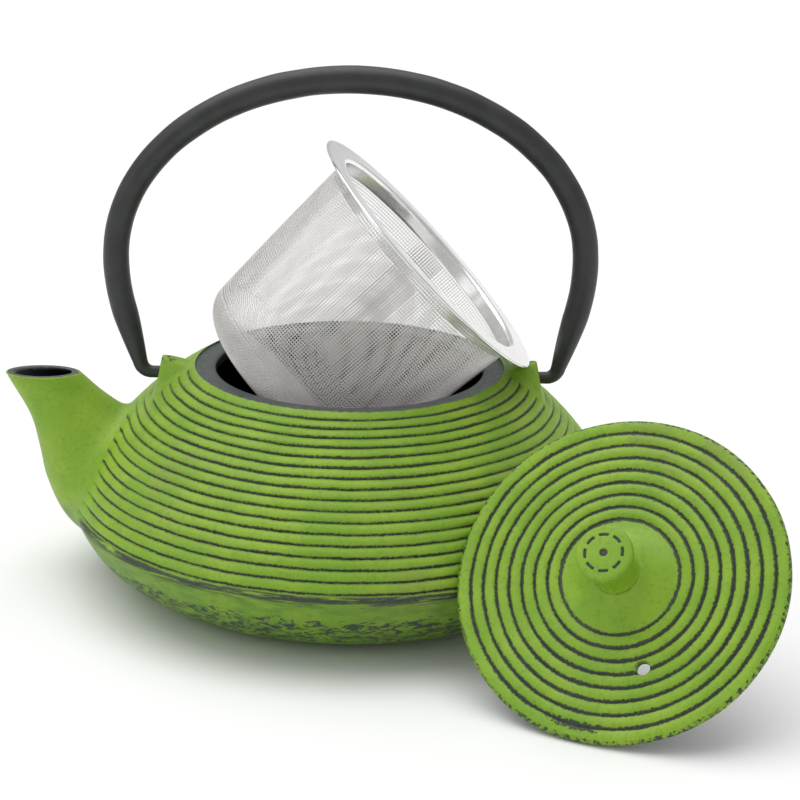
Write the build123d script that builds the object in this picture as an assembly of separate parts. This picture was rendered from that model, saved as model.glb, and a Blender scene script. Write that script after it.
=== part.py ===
from build123d import *
import os
from math import asin, cos, degrees, radians, sin, tan

# Cast iron teapot with a bail handle, a lift-off lid and a mesh tea infuser.
# Frame: Z up, origin at the centre of the foot on the table, spout towards -X,
# bail hinge along X. The lid stands on the table and leans on the pot at the
# front right, and the infuser lies tilted in the mouth.

# ---- driving dimensions, mm ----
BODY_RADIUS = 89.0
EQUATOR_HEIGHT = 25.0
SHOULDER_CENTRE = -0.55       # height of the centre of the shoulder's ellipse
SHOULDER_HALF_HEIGHT = 83.5   # vertical half axis of that ellipse
BOWL_REACH = 35.0             # from the foot's edge out to the widest part
BOWL_CENTRE = 36.0            # height of the centre of the bowl's ellipse
WALL = 3.0
FLOOR_THICKNESS = 3.5
INNER_HALF_HEIGHT = 76.0      # vertical half axis of the inside of the shoulder

SEAT_RADIUS = 49.5            # edge of the unpainted seat that the lid covers
SEAT_HEIGHT = 69.5
MOUTH_RADIUS = 42.9

RIB_COUNT = 16
FIRST_GROOVE = 3.1            # along the shoulder from its top edge
RIB_PITCH = 3.49
GROOVE_DEPTH = 0.8

LUG_FACE = 62.0               # outer faces of the two lugs, from the axis
LUG_HALF_WIDTH = 8.5
LUG_TOP = 72.2
LUG_SHOULDER = 0.55           # the flank's middle, as a share of the half width
LUG_BULGE = 3.0               # the flank's middle, above half height
LUG_ROOT = 58.0
LUG_INNER = 51.0
HINGE_HEIGHT = 66.5
PIN_RADIUS = 1.95
PIN_HOLE_RADIUS = 2.0
PIN_HOLE_DEPTH = 7.5
PIN_DEPTH = 6.5

ARCH_HALF_SPAN = 74.3
ARCH_RISE = 57.3
ARCH_SPRING = 104.5           # height where the arch is widest
LEG_ANGLE = 15.5              # the legs lean in towards the lugs, from upright
LEG_CORNER = 66.3             # where the leg line meets the hinge line
BAIL_RADIUS = 4.15
LEG_END_RADIUS = 2.4
ELBOW_RADIUS = 4.0

LID_RADIUS = 48.3
LID_EDGE_RADIUS = 1.6         # the edge is a full round
LID_LIP_RADIUS = 36.5
LID_LIP_DEPTH = 3.5
LID_SKIN = 3.0
LID_RECESS = 0.8              # the underside inside the lip, above the edge's underside
LID_KNOB_SEAT = 7.2           # radius of the flat that the knob stands on
LID_WAIST_SAG = 1.0           # hollow of the boss's flank
LID_BOSS_RADIUS = 17.3
LID_BOSS_HEIGHT = 4.4
LID_GROOVES = 8
LID_PITCH = 3.82
LID_GROOVE_DEPTH = 0.7
LID_LEAN = 50.6               # angle between the lid's axis and the vertical
LID_HEADING = -115.4          # compass direction that the lid faces, from +X
LID_X = 78.4
LID_Y = -96.6
VENT_RADIUS = 2.0
VENT_REACH = 27.8
VENT_BEARING = -62.0          # around the lid, from its level diameter

KNOB_RADIUS = 8.0
KNOB_TOP = 24.3
KNOB_HEAD = 5.0
KNOB_CHAMFER = 1.0
KNOB_NECK_RADIUS = 6.2
KNOB_FOOT_HEIGHT = 9.0
STUD_RADIUS = 3.0
STUD_HEAD_RADIUS = 5.0
STUD_HEAD = 1.2

FLANGE_RADIUS = 47.5
FLANGE_THICKNESS = 0.8
THROAT_RADIUS = 38.4
THROAT_DEPTH = 5.0
THROAT_WALL = 0.5
MESH = 0.6                    # two crossing wires
BASKET_DEPTH = 66.4
BASKET_BOTTOM_RADIUS = 36.3
BASKET_CORNER = 10.0
BASKET_BOW = 0.2
SEATED_GAP = 0.3
TILT = 46.2
TILT_AXIS_X = 55.0
TILT_AXIS_Z = 59.4
TILT_SHIFT_X = -0.1           # from where turning about that axis would put the infuser
TILT_SHIFT_Z = 0.5


def at(radius, height):
    """A point of a turned outline: the XZ plane, radius along X."""
    return (radius, 0, height)


def turned(edges):
    """The solid that an outline in the XZ plane sweeps around the Z axis."""
    return revolve(make_face(edges), axis=Axis.Z)


def arc3(start, middle, end):
    return ThreePointArc(start, middle, end)


def ellipse_arc(centre, half_x, half_z, start, end):
    """Part of an upright ellipse in the XZ plane, angles from +X towards +Z."""
    arc = EllipticalCenterArc((0, 0), half_x, half_z, start_angle=start, arc_size=end - start)
    return Plane(origin=at(*centre), x_dir=(1, 0, 0), z_dir=(0, -1, 0)) * arc


def shoulder_half_width(widest, half_height):
    """Horizontal half axis of a shoulder ellipse that has this radius at the equator."""
    share = (EQUATOR_HEIGHT - SHOULDER_CENTRE) / half_height
    return widest / (1 - share ** 2) ** 0.5


def shoulder_height(radius, widest, half_height):
    half_width = shoulder_half_width(widest, half_height)
    return SHOULDER_CENTRE + half_height * (1 - (radius / half_width) ** 2) ** 0.5


def shoulder_arc(widest, half_height):
    """A shoulder's smooth line, from the equator up to the axis."""
    equator = degrees(asin((EQUATOR_HEIGHT - SHOULDER_CENTRE) / half_height))
    half_width = shoulder_half_width(widest, half_height)
    return ellipse_arc((0, SHOULDER_CENTRE), half_width, half_height, equator, 90)


# ---- pot: body, spout and lugs in one casting ----
def foot_radius():
    """Radius of the flat face that the pot stands on."""
    return BODY_RADIUS - BOWL_REACH


def bowl_arc(reach, floor):
    """The bowl's line from a floor at this height out to the equator."""
    half_height = BOWL_CENTRE - floor
    share = (BOWL_CENTRE - EQUATOR_HEIGHT) / half_height
    half_width = reach / (1 - share ** 2) ** 0.5
    return ellipse_arc((foot_radius(), BOWL_CENTRE), half_width, half_height,
                       270, 360 - degrees(asin(share)))


def shoulder_outline():
    """The ribbed shoulder, from its top edge down to the widest part."""
    top = shoulder_height(SEAT_RADIUS, BODY_RADIUS, SHOULDER_HALF_HEIGHT)
    smooth = shoulder_arc(BODY_RADIUS, SHOULDER_HALF_HEIGHT)
    full = smooth.length
    start = smooth.param_at_point(at(SEAT_RADIUS, top)) * full

    def crest(along):
        return smooth.position_at(start - along, position_mode=PositionMode.LENGTH)

    def groove(along):
        tangent = smooth.tangent_at(start - along, position_mode=PositionMode.LENGTH)
        outward = Vector(tangent.Z, 0, -tangent.X)
        return crest(along) - outward * GROOVE_DEPTH

    edges = [arc3(at(SEAT_RADIUS, top), crest(FIRST_GROOVE / 2), groove(FIRST_GROOVE))]
    for rib in range(RIB_COUNT):
        upper = FIRST_GROOVE + rib * RIB_PITCH
        edges.append(arc3(groove(upper), crest(upper + RIB_PITCH / 2), groove(upper + RIB_PITCH)))
    last = FIRST_GROOVE + RIB_COUNT * RIB_PITCH
    edges.append(Line(groove(last), at(BODY_RADIUS, EQUATOR_HEIGHT)))
    return edges


def body_solid():
    top = shoulder_height(SEAT_RADIUS, BODY_RADIUS, SHOULDER_HALF_HEIGHT)
    edges = shoulder_outline()
    edges.append(bowl_arc(BOWL_REACH, 0))
    edges.append(Polyline(at(foot_radius(), 0), at(0, 0), at(0, SEAT_HEIGHT),
                          at(SEAT_RADIUS, SEAT_HEIGHT), at(SEAT_RADIUS, top)))
    return turned(edges)


def cavity_solid():
    inner_radius = BODY_RADIUS - WALL
    neck_height = shoulder_height(MOUTH_RADIUS, inner_radius, INNER_HALF_HEIGHT)
    above = SEAT_HEIGHT + WALL
    shoulder = shoulder_arc(inner_radius, INNER_HALF_HEIGHT)
    neck = shoulder.param_at_point(at(MOUTH_RADIUS, neck_height))
    bowl = bowl_arc(BOWL_REACH - WALL, FLOOR_THICKNESS)
    edges = [shoulder.trim(0, neck), bowl]
    edges.append(Polyline(at(MOUTH_RADIUS, neck_height), at(MOUTH_RADIUS, above), at(0, above),
                          at(0, FLOOR_THICKNESS), at(foot_radius(), FLOOR_THICKNESS)))
    return turned(edges)


# Spout sections from the root to the mouth: centre x and z, lean of the section
# plane's normal from upright towards -X, outer half axes (along, across), bore
# half axes (along, across).
SPOUT_SECTIONS = [
    (-63.0, 25.5, 40.5, 22.3, 24.0, 16.0, 17.0),
    (-71.5, 32.3, 37.1, 24.5, 24.0, 18.0, 17.5),
    (-79.0, 40.5, 26.6, 21.2, 18.0, 16.0, 13.5),
    (-85.0, 47.0, 21.8, 16.2, 13.0, 12.4, 9.8),
    (-90.9, 55.4, 17.0, 12.4, 9.2, 9.4, 6.6),
    (-98.6, 66.0, 0.0, 11.8, 7.2, 9.2, 5.0),
]
SPOUT_OVERCUT = 2.0


def spout_plane(x, z, lean):
    tilt = radians(lean)
    return Plane(origin=(x, 0, z), x_dir=(cos(tilt), 0, sin(tilt)), z_dir=(-sin(tilt), 0, cos(tilt)))


def spout_solid():
    faces = [spout_plane(x, z, lean) * Ellipse(along, across)
             for x, z, lean, along, across, _, _ in SPOUT_SECTIONS]
    return loft([face.face() for face in faces])


def bore_solid():
    faces = [spout_plane(x, z, lean) * Ellipse(along, across)
             for x, z, lean, _, _, along, across in SPOUT_SECTIONS]
    bore = loft([face.face() for face in faces])
    x, z, _, _, _, along, across = SPOUT_SECTIONS[-1]
    mouth = Pos(x, 0, z) * Ellipse(along, across)
    return bore + extrude(mouth, SPOUT_OVERCUT)


def lug_solid():
    """A wedge with a flat outer face, running down to the seat's edge."""
    outer_plane = Plane(origin=(LUG_FACE, 0, 0), x_dir=(0, 1, 0), z_dir=(1, 0, 0))
    inner_plane = Plane(origin=(LUG_INNER, 0, 0), x_dir=(0, 1, 0), z_dir=(1, 0, 0))
    return loft([lug_section(outer_plane, LUG_HALF_WIDTH, LUG_TOP),
                 lug_section(inner_plane, LUG_HALF_WIDTH / 2, SEAT_HEIGHT)])


def lug_section(plane, half_width, top):
    flank = half_width * LUG_SHOULDER
    middle = (top + LUG_ROOT) / 2 + LUG_BULGE
    outline = [Line((-half_width, LUG_ROOT), (half_width, LUG_ROOT)),
               arc3((half_width, LUG_ROOT), (flank, middle), (0, top)),
               arc3((0, top), (-flank, middle), (-half_width, LUG_ROOT))]
    return (plane * make_face(outline)).face()


def pin_hole():
    hole = Cylinder(PIN_HOLE_RADIUS, PIN_HOLE_DEPTH + SPOUT_OVERCUT, rotation=(0, 90, 0))
    middle = LUG_FACE + (SPOUT_OVERCUT - PIN_HOLE_DEPTH) / 2
    return Pos(middle, 0, HINGE_HEIGHT) * hole


def pot():
    lug = lug_solid()
    hole = pin_hole()
    casting = body_solid() + spout_solid() + lug + mirror(lug, Plane.YZ)
    return casting - cavity_solid() - bore_solid() - hole - mirror(hole, Plane.YZ)


# ---- bail handle ----
def leg_joint():
    """Bend radius of the upper leg and length of its straight lower part."""
    lean = radians(LEG_ANGLE)
    inset = ARCH_HALF_SPAN - LEG_CORNER
    drop = ARCH_SPRING - HINGE_HEIGHT
    straight = (inset - drop * (1 - cos(lean)) / sin(lean)) / (
        sin(lean) - cos(lean) * (1 - cos(lean)) / sin(lean))
    bend = (drop - straight * cos(lean)) / sin(lean)
    return bend, straight


def bar(path, radius):
    start = path @ 0
    return sweep(Plane(origin=start, z_dir=path % 0) * Circle(radius), path=path)


def bail_leg():
    lean = radians(LEG_ANGLE)
    bend, straight = leg_joint()
    knee = Vector(ARCH_HALF_SPAN - bend * (1 - cos(lean)), 0, ARCH_SPRING - bend * sin(lean))
    corner = Vector(LEG_CORNER, 0, HINGE_HEIGHT)
    up = Vector(sin(lean), 0, cos(lean))
    reach = ELBOW_RADIUS * tan(radians(90 - LEG_ANGLE) / 2)
    elbow_top = corner + up * reach
    elbow_end = corner - Vector(reach, 0, 0)
    elbow = TangentArc(elbow_end, elbow_top, tangent=(1, 0, 0))
    thigh = ellipse_arc((ARCH_HALF_SPAN - bend, ARCH_SPRING), bend, bend, 360 - LEG_ANGLE, 360)
    cone = loft([(Plane(origin=elbow_top, z_dir=up) * Circle(LEG_END_RADIUS)).face(),
                 (Plane(origin=knee, z_dir=up) * Circle(BAIL_RADIUS)).face()])
    pin_tip = LUG_FACE - PIN_DEPTH
    pin_length = elbow_end.X - pin_tip
    pin = Pos(pin_tip + pin_length / 2, 0, HINGE_HEIGHT) * Cylinder(
        PIN_RADIUS, pin_length, rotation=(0, 90, 0))
    return bar(thigh, BAIL_RADIUS) + cone + bar(elbow, LEG_END_RADIUS) + pin


def bail_handle():
    arch = ellipse_arc((0, ARCH_SPRING), ARCH_HALF_SPAN, ARCH_RISE, 0, 180)
    leg = bail_leg()
    return bar(arch, BAIL_RADIUS) + leg + mirror(leg, Plane.YZ)


# ---- lid, built level with its underside at z = 0 ----
def lid_top_height(radius):
    """Height of the lid's gently coned top."""
    edge = LID_RADIUS - LID_EDGE_RADIUS
    slope = (LID_BOSS_HEIGHT - 2 * LID_EDGE_RADIUS) / (edge - LID_BOSS_RADIUS)
    return 2 * LID_EDGE_RADIUS + slope * (edge - radius)


def lid_solid():
    edge = LID_RADIUS - LID_EDGE_RADIUS
    grooves = [LID_BOSS_RADIUS + LID_PITCH * ring for ring in range(LID_GROOVES)]
    bottoms = [at(radius, lid_top_height(radius) - LID_GROOVE_DEPTH) for radius in grooves]
    edges = []
    for ring in range(LID_GROOVES - 1):
        middle = grooves[ring] + LID_PITCH / 2
        edges.append(arc3(bottoms[ring], at(middle, lid_top_height(middle)), bottoms[ring + 1]))
    outer = (grooves[-1] + edge) / 2
    edges.append(arc3(bottoms[-1], at(outer, lid_top_height(outer)), at(edge, 2 * LID_EDGE_RADIUS)))
    edges.append(arc3(at(edge, 2 * LID_EDGE_RADIUS), at(LID_RADIUS, LID_EDGE_RADIUS), at(edge, 0)))
    lip_inner = LID_LIP_RADIUS - LID_SKIN
    edges.append(Polyline(at(edge, 0), at(LID_LIP_RADIUS, 0), at(LID_LIP_RADIUS, -LID_LIP_DEPTH),
                          at(lip_inner, -LID_LIP_DEPTH), at(lip_inner, LID_RECESS),
                          at(LID_BOSS_RADIUS, LID_BOSS_HEIGHT - LID_SKIN - LID_GROOVE_DEPTH),
                          at(STUD_RADIUS, LID_BOSS_HEIGHT), at(STUD_RADIUS, KNOB_FOOT_HEIGHT),
                          at(LID_KNOB_SEAT, KNOB_FOOT_HEIGHT)))
    waist = (LID_BOSS_RADIUS + KNOB_NECK_RADIUS) / 2
    waist_height = (LID_BOSS_HEIGHT + KNOB_FOOT_HEIGHT) / 2 - LID_WAIST_SAG
    edges.append(arc3(at(LID_KNOB_SEAT, KNOB_FOOT_HEIGHT), at(waist, waist_height), bottoms[0]))
    vent = Cylinder(VENT_RADIUS, 4 * LID_BOSS_HEIGHT)
    bearing = radians(VENT_BEARING)
    return turned(edges) - Pos(VENT_REACH * cos(bearing), VENT_REACH * sin(bearing), 0) * vent


def knob_solid():
    """Knob with a stud that goes down through the lid and is peened over."""
    head = KNOB_TOP - KNOB_HEAD
    under = LID_BOSS_HEIGHT - STUD_HEAD
    face = KNOB_RADIUS - KNOB_CHAMFER
    edges = [Polyline(at(0, KNOB_TOP), at(face, KNOB_TOP)),
             arc3(at(face, KNOB_TOP), at(KNOB_RADIUS, KNOB_TOP - KNOB_HEAD / 3),
                  at(KNOB_NECK_RADIUS, head)),
             Polyline(at(KNOB_NECK_RADIUS, head), at(KNOB_NECK_RADIUS, KNOB_FOOT_HEIGHT),
                      at(STUD_RADIUS, KNOB_FOOT_HEIGHT), at(STUD_RADIUS, LID_BOSS_HEIGHT),
                      at(STUD_HEAD_RADIUS, under + STUD_HEAD / 2), at(STUD_HEAD_RADIUS, under),
                      at(0, under), at(0, KNOB_TOP))]
    return turned(edges)


def leaning():
    """Where the level lid goes: on its edge on the table, against the pot."""
    lean = radians(LID_LEAN)
    heading = radians(LID_HEADING)
    facing = Vector(sin(lean) * cos(heading), sin(lean) * sin(heading), cos(lean))
    level = Vector(-sin(heading), cos(heading), 0)
    height = (LID_RADIUS - LID_EDGE_RADIUS) * sin(lean) + LID_EDGE_RADIUS * (1 - cos(lean))
    return Plane(origin=(LID_X, LID_Y, height), x_dir=level, z_dir=facing).location


# ---- infuser, built seated in the mouth ----
def infuser_top():
    return SEAT_HEIGHT + SEATED_GAP + FLANGE_THICKNESS


def tilted(solid):
    hinge = Axis((TILT_AXIS_X, 0, TILT_AXIS_Z), (0, 1, 0))
    return Pos(TILT_SHIFT_X, 0, TILT_SHIFT_Z) * solid.rotate(hinge, TILT)


def infuser_flange():
    top = infuser_top()
    outer = THROAT_RADIUS + THROAT_WALL
    edges = Polyline(at(THROAT_RADIUS, top), at(FLANGE_RADIUS, top),
                     at(FLANGE_RADIUS, top - FLANGE_THICKNESS), at(outer, top - FLANGE_THICKNESS),
                     at(outer, top - THROAT_DEPTH), at(THROAT_RADIUS, top - THROAT_DEPTH),
                     at(THROAT_RADIUS, top))
    return tilted(turned([edges]))


def infuser_wall():
    top = infuser_top()
    inner = THROAT_RADIUS + THROAT_WALL
    bottom = top - BASKET_DEPTH + BASKET_CORNER
    middle = (inner + BASKET_BOTTOM_RADIUS - MESH) / 2 + BASKET_BOW
    half = (top - THROAT_DEPTH + bottom) / 2
    outside = arc3(at(inner + MESH, top - THROAT_DEPTH), at(middle + MESH, half),
                   at(BASKET_BOTTOM_RADIUS, bottom))
    inside = arc3(at(inner, top - THROAT_DEPTH), at(middle, half),
                  at(BASKET_BOTTOM_RADIUS - MESH, bottom))
    collar = Polyline(at(inner, top - THROAT_DEPTH), at(inner, top - FLANGE_THICKNESS),
                      at(inner + MESH, top - FLANGE_THICKNESS), at(inner + MESH, top - THROAT_DEPTH))
    foot = Line(at(BASKET_BOTTOM_RADIUS - MESH, bottom), at(BASKET_BOTTOM_RADIUS, bottom))
    return tilted(turned([outside, inside, collar, foot]))


def infuser_base():
    bottom = infuser_top() - BASKET_DEPTH
    corner = (BASKET_BOTTOM_RADIUS - BASKET_CORNER, bottom + BASKET_CORNER)
    outside = ellipse_arc(corner, BASKET_CORNER, BASKET_CORNER, 270, 360)
    inside = ellipse_arc(corner, BASKET_CORNER - MESH, BASKET_CORNER - MESH, 270, 360)
    flat = Polyline(at(corner[0], bottom), at(0, bottom), at(0, bottom + MESH),
                    at(corner[0], bottom + MESH))
    brim = Line(at(BASKET_BOTTOM_RADIUS - MESH, corner[1]), at(BASKET_BOTTOM_RADIUS, corner[1]))
    return tilted(turned([outside, inside, flat, brim]))


lid_place = leaning()
NODES = {
    "pot_casting": pot(),
    "bail_handle": bail_handle(),
    "lid_plate": lid_place * lid_solid(),
    "lid_knob": lid_place * knob_solid(),
    "infuser_flange": infuser_flange(),
    "infuser_wall_mesh": infuser_wall(),
    "infuser_base_mesh": infuser_base(),
}

os.makedirs("parts", exist_ok=True)
for name, solid in NODES.items():
    export_step(solid, f"parts/{name}.step")
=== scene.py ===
import math

import bpy
import numpy as np
from mathutils import Matrix, Vector


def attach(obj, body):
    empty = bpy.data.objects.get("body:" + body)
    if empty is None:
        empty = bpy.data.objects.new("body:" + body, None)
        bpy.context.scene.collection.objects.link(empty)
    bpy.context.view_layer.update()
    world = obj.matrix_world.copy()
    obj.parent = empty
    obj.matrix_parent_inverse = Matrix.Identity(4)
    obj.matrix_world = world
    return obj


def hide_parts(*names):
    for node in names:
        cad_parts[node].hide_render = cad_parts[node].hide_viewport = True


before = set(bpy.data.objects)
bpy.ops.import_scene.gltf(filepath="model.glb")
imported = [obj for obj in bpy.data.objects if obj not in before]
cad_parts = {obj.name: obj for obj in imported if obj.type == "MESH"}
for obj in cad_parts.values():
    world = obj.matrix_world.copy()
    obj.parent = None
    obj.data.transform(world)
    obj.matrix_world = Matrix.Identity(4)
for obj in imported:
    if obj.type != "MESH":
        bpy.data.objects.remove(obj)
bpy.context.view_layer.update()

# Everything is worked out in millimetres and made in metres.
MM = 0.001

# ---- dimensions that the CAD has too, mm ----
BODY_RADIUS = 89.0
EQUATOR_HEIGHT = 25.0
SHOULDER_CENTRE = -0.55
SHOULDER_HALF_HEIGHT = 83.5
BOWL_REACH = 35.0
BOWL_CENTRE = 36.0
FOOT_RADIUS = BODY_RADIUS - BOWL_REACH
WALL = 3.0
FLOOR_THICKNESS = 3.5
INNER_HALF_HEIGHT = 76.0
SEAT_RADIUS = 49.5
SEAT_HEIGHT = 69.5
MOUTH_RADIUS = 42.9
RIB_COUNT = 16
FIRST_GROOVE = 3.1
RIB_PITCH = 3.49
GROOVE_DEPTH = 0.8
LUG_FACE = 62.0
LUG_TOP = 72.2
HINGE_HEIGHT = 66.5
PIN_RADIUS = 1.95
PIN_HOLE_RADIUS = 2.0
PIN_HOLE_DEPTH = 7.5
PIN_DEPTH = 6.5
ARCH_HALF_SPAN = 74.3
ARCH_RISE = 57.3
ARCH_SPRING = 104.5
LEG_ANGLE = math.radians(15.5)
LEG_CORNER = 66.3
BAIL_RADIUS = 4.15
LEG_END_RADIUS = 2.4
ELBOW_RADIUS = 4.0
LID_RADIUS = 48.3
LID_EDGE_RADIUS = 1.6
LID_LIP_RADIUS = 36.5
LID_LIP_DEPTH = 3.5
LID_SKIN = 3.0
LID_RECESS = 0.8
LID_KNOB_SEAT = 7.2
LID_BOSS_RADIUS = 17.3
LID_BOSS_HEIGHT = 4.4
LID_GROOVES = 8
LID_PITCH = 3.82
LID_GROOVE_DEPTH = 0.7
LID_LEAN = math.radians(50.6)
LID_HEADING = math.radians(-115.4)
LID_X = 78.4
LID_Y = -96.6
VENT_RADIUS = 2.0
VENT_REACH = 27.8
VENT_BEARING = math.radians(-62.0)
KNOB_RADIUS = 8.0
KNOB_TOP = 24.3
KNOB_HEAD = 5.0
KNOB_NECK_RADIUS = 6.2
KNOB_FOOT_HEIGHT = 9.0
STUD_RADIUS = 3.0
STUD_HEAD_RADIUS = 5.0
STUD_HEAD = 1.2
FLANGE_RADIUS = 47.5
FLANGE_THICKNESS = 0.8
THROAT_RADIUS = 38.4
THROAT_DEPTH = 5.0
THROAT_WALL = 0.5
MESH = 0.6
BASKET_DEPTH = 66.4
BASKET_BOTTOM_RADIUS = 36.3
BASKET_CORNER = 10.0
BASKET_BOW = 0.2
SEATED_GAP = 0.3
TILT = math.radians(46.2)
TILT_AXIS = (55.0, 0.0, 59.4)
TILT_SHIFT = (-0.1, 0.0, 0.5)
FLANGE_TOP = SEAT_HEIGHT + SEATED_GAP + FLANGE_THICKNESS
# x, z, lean, outer half axes along and across, bore half axes along and across
SPOUT_SECTIONS = np.array([
    (-63.0, 25.5, 40.5, 22.3, 24.0, 16.0, 17.0),
    (-71.5, 32.3, 37.1, 24.5, 24.0, 18.0, 17.5),
    (-79.0, 40.5, 26.6, 21.2, 18.0, 16.0, 13.5),
    (-85.0, 47.0, 21.8, 16.2, 13.0, 12.4, 9.8),
    (-90.9, 55.4, 17.0, 12.4, 9.2, 9.4, 6.6),
    (-98.6, 66.0, 0.0, 11.8, 7.2, 9.2, 5.0),
])
SPOUT_TOP = 66.0

# ---- small helpers ----
rng = np.random.default_rng(7)
LATTICE = rng.uniform(-1, 1, (48, 48, 48))
TINY = 1e-9


def noise3(points, size):
    """Smooth noise from -1 to 1 with features of that size, in mm."""
    p = np.asarray(points, float) / size + 100.0
    cell = np.floor(p).astype(int)
    f = p - cell
    f = f * f * (3 - 2 * f)
    total = 0.0
    for dx in (0, 1):
        for dy in (0, 1):
            for dz in (0, 1):
                weight = (np.abs(1 - dx - f[..., 0]) * np.abs(1 - dy - f[..., 1])
                          * np.abs(1 - dz - f[..., 2]))
                corner = (cell + (dx, dy, dz)) % LATTICE.shape[0]
                total = total + weight * LATTICE[corner[..., 0], corner[..., 1], corner[..., 2]]
    return total


def step(x, low, high):
    """0 below low, 1 above high, smooth between."""
    t = np.clip((x - low) / (high - low), 0, 1)
    return t * t * (3 - 2 * t)


def unit(vectors):
    return vectors / np.linalg.norm(vectors, axis=-1, keepdims=True)


def circle_angles(count):
    return np.linspace(0, 2 * np.pi, count, endpoint=False)


def lengths_along(points):
    """Distance along a line of points at each of them, from zero."""
    return np.concatenate([[0], np.cumsum(np.linalg.norm(np.diff(points, axis=0), axis=1))])


def off_ellipse(u, v, half_u, half_v):
    """Roughly the distance out of an ellipse, mm."""
    q = np.sqrt((u / half_u) ** 2 + (v / half_v) ** 2) + TINY
    return (q - 1) * q / (np.sqrt((u / half_u ** 2) ** 2 + (v / half_v ** 2) ** 2) + TINY)


def bezier(t, start, control, end):
    return (1 - t) ** 2 * start + 2 * t * (1 - t) * control + t ** 2 * end


def link(name, data):
    obj = bpy.data.objects.new(name, data)
    bpy.context.scene.collection.objects.link(obj)
    return obj


def make_mesh(name, points, faces):
    mesh = bpy.data.meshes.new(name)
    mesh.from_pydata(np.asarray(points, float) * MM, [], faces)
    mesh.update()
    return mesh


def grid_faces(rows, cols, wrap_rows=False):
    i = np.arange(rows if wrap_rows else rows - 1)[:, None]
    j = np.arange(cols)[None]
    below, beside = (i + 1) % rows, (j + 1) % cols
    return np.stack([i * cols + j, below * cols + j, below * cols + beside, i * cols + beside],
                    -1).reshape(-1, 4)


def capped(rings, first, last):
    """A closed skin: rings from the first end point to the last one."""
    rows, cols = rings.shape[:2]
    points = np.vstack([rings.reshape(-1, 3), first, last])
    faces = grid_faces(rows, cols).tolist()
    top, bottom, base = rows * cols, rows * cols + 1, (rows - 1) * cols
    for j in range(cols):
        k = (j + 1) % cols
        faces.append((top, j, k))
        faces.append((bottom, base + k, base + j))
    return points, faces


def ring_of(radius, height, segments):
    """Rings about the Z axis, one for each radius and height."""
    a = circle_angles(segments)
    radius, height = np.asarray(radius, float)[:, None], np.asarray(height, float)[:, None]
    return np.stack([radius * np.cos(a), radius * np.sin(a), height + 0 * a], -1)


def lathe(outline, segments):
    """A closed turned skin from an outline that starts and ends on the axis."""
    outline = np.asarray(outline, float)
    rings = ring_of(outline[1:-1, 0], outline[1:-1, 1], segments)
    return capped(rings, (0, 0, outline[0, 1]), (0, 0, outline[-1, 1]))


def lines(*corners, spacing=2.0):
    """Points along straight runs, both ends included."""
    points = [np.array(corners[0], float)]
    for a, b in zip(corners[:-1], corners[1:]):
        a, b = np.array(a, float), np.array(b, float)
        count = max(1, int(np.ceil(np.linalg.norm(b - a) / spacing)))
        points += [a + (b - a) * k / count for k in range(1, count + 1)]
    return np.array(points)


def ellipse_points(centre, half_x, half_z, start, end, count):
    a = np.radians(np.linspace(start, end, count))
    return np.stack([centre[0] + half_x * np.cos(a), centre[1] + half_z * np.sin(a)], -1)


def smooth_shade(mesh, angle=40):
    mesh.shade_smooth()
    mesh.set_sharp_from_angle(angle=math.radians(angle))


def coords(mesh):
    out = np.zeros(len(mesh.vertices) * 3)
    mesh.vertices.foreach_get("co", out)
    return out.reshape(-1, 3) / MM


def set_coords(mesh, points):
    mesh.vertices.foreach_set("co", (points * MM).ravel())
    mesh.update()


def add_attributes(mesh, **attributes):
    for name, values in attributes.items():
        data = mesh.attributes.new(name, "FLOAT", "POINT").data
        data.foreach_set("value", np.asarray(values, np.float32))


def boolean(obj, operation, *skins):
    """Adds closed skins to the piece, or cuts them out of it."""
    tools = [link("tool", make_mesh("tool", *skin)) for skin in skins]
    for tool in tools:
        cut = obj.modifiers.new("cut", "BOOLEAN")
        cut.operation = operation
        cut.solver = "MANIFOLD"
        cut.object = tool
    graph = bpy.context.evaluated_depsgraph_get()
    graph.update()
    mesh = bpy.data.meshes.new_from_object(obj.evaluated_get(graph))
    obj.modifiers.clear()
    old = obj.data
    obj.data = mesh
    bpy.data.meshes.remove(old)
    for tool in tools:
        bpy.data.objects.remove(tool)


def tube(paths, normals, radius, sides, closed=False):
    """Bars along paths of shape (count, steps, 3), with capped ends unless closed."""
    ahead, behind = np.roll(paths, -1, 1), np.roll(paths, 1, 1)
    if not closed:
        ahead[:, -1], behind[:, 0] = paths[:, -1], paths[:, 0]
    tangent = unit(ahead - behind)
    normal = unit(normals - (normals * tangent).sum(-1, keepdims=True) * tangent)
    side = np.cross(normal, tangent)
    a = circle_angles(sides)
    radius = np.broadcast_to(radius, paths.shape[:2])[..., None, None]
    points = paths[:, :, None] + radius * (np.cos(a)[:, None] * normal[:, :, None]
                                           + np.sin(a)[:, None] * side[:, :, None])
    count, steps = paths.shape[:2]
    one = grid_faces(steps, sides, closed)
    faces = (one[None] + (np.arange(count) * steps * sides)[:, None, None]).reshape(-1, 4).tolist()
    if not closed:
        for k in range(count):
            base = k * steps * sides
            end = base + (steps - 1) * sides
            faces.append([base + j for j in range(sides)])
            faces.append([end + sides - 1 - j for j in range(sides)])
    return points.reshape(-1, 3), faces


# ---- pot ----


def half_width(widest, half_height):
    """Horizontal half axis of a shoulder ellipse that has this radius at the equator."""
    return widest / math.sqrt(1 - ((EQUATOR_HEIGHT - SHOULDER_CENTRE) / half_height) ** 2)


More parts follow.
